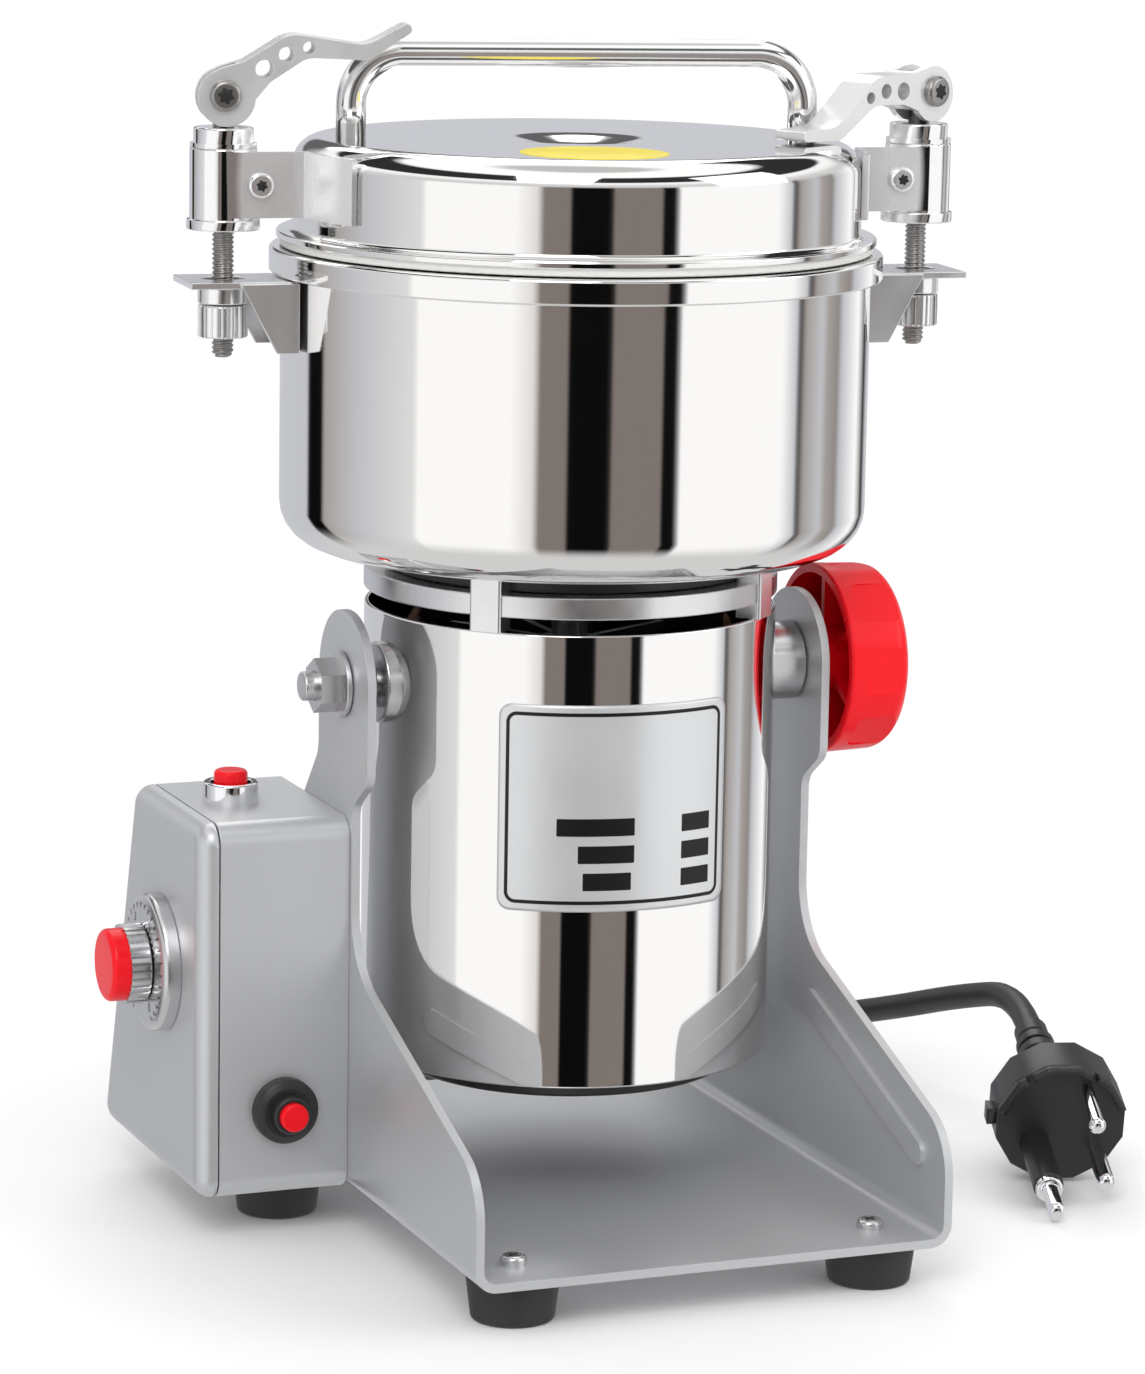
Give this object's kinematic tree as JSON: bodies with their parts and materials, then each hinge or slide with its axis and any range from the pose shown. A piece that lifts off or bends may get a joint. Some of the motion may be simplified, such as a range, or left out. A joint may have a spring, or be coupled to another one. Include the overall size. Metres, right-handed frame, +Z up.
{
  "type": "electric grain grinder",
  "caption": "Electric powder grinder: a clamped steel bowl on a motor drum tilts forward on a bent-sheet stand with a side timer box, lock knob and mains cord.",
  "frame": {"origin": "on the floor, at the middle of the machine's outline without the loose cord", "axes": "+Z up, -Y front where the machine tilts to, timer box on -X, lock knob on +X"},
  "size_m": [0.291, 0.3087, 0.3287],
  "materials": {
    "grey_paint": "satin metallic paint",
    "stainless": "polished",
    "mirror_steel": "mirror polished",
    "chrome": "bright",
    "zinc": "bright zinc",
    "cast_metal": "polished casting",
    "blade_steel": "ground",
    "motor_iron": "matte",
    "copper": "enamelled wire",
    "black_rubber": "matte",
    "cord_rubber": "satin",
    "black_plastic": "satin",
    "red_plastic": "gloss",
    "white_silicone": "matte"
  },
  "bodies": {
    "stand": {"base_frame": "grey_paint", "rubber_feet": "black_rubber", "foot_screws": "zinc", "box_case": "grey_paint", "box_cover": "grey_paint", "timer_dial_ring": "black_plastic", "timer_mechanism": "black_plastic", "power_button_bezel": "chrome", "power_switch_body": "black_plastic", "overload_breaker": "black_plastic", "cord_gland": "black_rubber", "power_cord_to_coil": "cord_rubber", "power_cord_coil": "cord_rubber", "power_cord_to_plug": "cord_rubber", "cord_tie": "black_plastic", "plug_body": "black_rubber", "plug_pins": "chrome", "earth_pin_sleeve": "black_plastic"},
    "head": {"motor_housing": "stainless", "housing_bottom_cap": "black_plastic", "motor_end_bracket": "cast_metal", "pivot_bosses": "stainless", "pivot_studs": "zinc", "pivot_nut": "zinc", "pivot_spring": "zinc", "grinding_bowl": "mirror_steel", "bowl_brackets": "mirror_steel", "bracket_rivets": "mirror_steel", "lower_end_shield": "cast_metal", "stator_core": "motor_iron", "field_coils": "copper", "brush_gear": "copper"},
    "rotor": {"rotor_shaft": "blade_steel", "shaft_bearings": "blade_steel", "armature": "motor_iron", "cooling_fan": "black_plastic", "grinding_blades": "blade_steel", "blade_spacers": "blade_steel", "blade_nut": "blade_steel"},
    "lid": {"lid_shell": "mirror_steel", "lid_gasket": "white_silicone", "lid_handle": "mirror_steel", "clamp_sleeves": "mirror_steel", "sleeve_screws": "zinc"},
    "left_rod": {"clamp_rod_left": "zinc"},
    "left_lever": {"clamp_lever_left": "cast_metal", "lever_screw_left": "mirror_steel"},
    "right_rod": {"clamp_rod_right": "zinc"},
    "right_lever": {"clamp_lever_right": "cast_metal", "lever_screw_right": "mirror_steel"},
    "left_washer": {"thrust_washer_left": "chrome"},
    "left_nut": {"knurled_nut_left": "chrome"},
    "right_washer": {"thrust_washer_right": "chrome"},
    "right_nut": {"knurled_nut_right": "chrome"},
    "lock_collar": {"lock_washer": "zinc"},
    "lock_hand_knob": {"lock_knob": "red_plastic"},
    "timer": {"timer_knob": "chrome", "timer_knob_cap": "red_plastic"},
    "power_push": {"power_button": "red_plastic"},
    "reset_push": {"reset_button": "red_plastic"}
  },
  "joints": [
    {"name": "head_tilt", "type": "hinge", "parent": "stand", "child": "head", "pos_m": [0.00841, -0.00501, 0.152], "axis": [1, 0, 0], "range_deg": [0, 90]},
    {"name": "rotor_spin", "type": "hinge", "parent": "head", "child": "rotor", "pos_m": [0.00841, -0.00001, 0.1], "axis": [0, 0, 1], "continuous": true},
    {"name": "lid_lift", "type": "slide", "parent": "head", "child": "lid", "axis": [0, 0, 1], "range_m": [0, 0.075]},
    {"name": "left_rod_slide", "type": "slide", "parent": "lid", "child": "left_rod", "axis": [0, 0, -1], "range_m": [-0.00029, 0.00081]},
    {"name": "left_lever_turn", "type": "hinge", "parent": "left_rod", "child": "left_lever", "pos_m": [-0.08922, 0.00853, 0.30971], "axis": [-0.225, -0.9744, 0], "range_deg": [-32, 88]},
    {"name": "right_rod_slide", "type": "slide", "parent": "lid", "child": "right_rod", "axis": [0, 0, -1], "range_m": [0, 0.0011]},
    {"name": "right_lever_turn", "type": "hinge", "parent": "right_rod", "child": "right_lever", "pos_m": [0.10604, -0.00855, 0.31], "axis": [-0.3746, 0.9272, 0], "range_deg": [0, 120]},
    {"name": "left_washer_slide", "type": "slide", "parent": "head", "child": "left_washer", "axis": [0, 0, -1], "range_m": [0, 0.004]},
    {"name": "left_nut_turn", "type": "hinge", "parent": "left_washer", "child": "left_nut", "pos_m": [-0.08922, 0.00853, 0.25], "axis": [0, 0, -1], "range_deg": [0, 1440]},
    {"name": "right_washer_slide", "type": "slide", "parent": "head", "child": "right_washer", "axis": [0, 0, -1], "range_m": [0, 0.004]},
    {"name": "right_nut_turn", "type": "hinge", "parent": "right_washer", "child": "right_nut", "pos_m": [0.10604, -0.00855, 0.25], "axis": [0, 0, -1], "range_deg": [0, 1440]},
    {"name": "lock_collar_slide", "type": "slide", "parent": "head", "child": "lock_collar", "axis": [1, 0, 0], "range_m": [0, 0.003]},
    {"name": "lock_knob_turn", "type": "hinge", "parent": "lock_collar", "child": "lock_hand_knob", "pos_m": [0.08841, -0.00501, 0.152], "axis": [1, 0, 0], "range_deg": [0, 720]},
    {"name": "timer_turn", "type": "hinge", "parent": "stand", "child": "timer", "pos_m": [-0.10959, 0.02249, 0.072], "axis": [1, 0, 0], "range_deg": [0, 300]},
    {"name": "power_press", "type": "slide", "parent": "stand", "child": "power_push", "axis": [0, 0, -1], "range_m": [0, 0.0025], "stiffness_N_per_m": 400, "springref_m": -0.001},
    {"name": "reset_press", "type": "slide", "parent": "stand", "child": "reset_push", "axis": [0, 1, 0], "range_m": [0, 0.0018], "stiffness_N_per_m": 500, "springref_m": -0.001}
  ],
  "couplings": [
    {"joint": "left_lever_turn", "follows": "left_rod_slide", "rad_per_m": 1903.3},
    {"joint": "right_lever_turn", "follows": "right_rod_slide", "rad_per_m": 1903.3},
    {"joint": "left_nut_turn", "follows": "left_washer_slide", "rad_per_m": 6283.2},
    {"joint": "right_nut_turn", "follows": "right_washer_slide", "rad_per_m": 6283.2},
    {"joint": "lock_knob_turn", "follows": "lock_collar_slide", "rad_per_m": 4188.8}
  ]
}
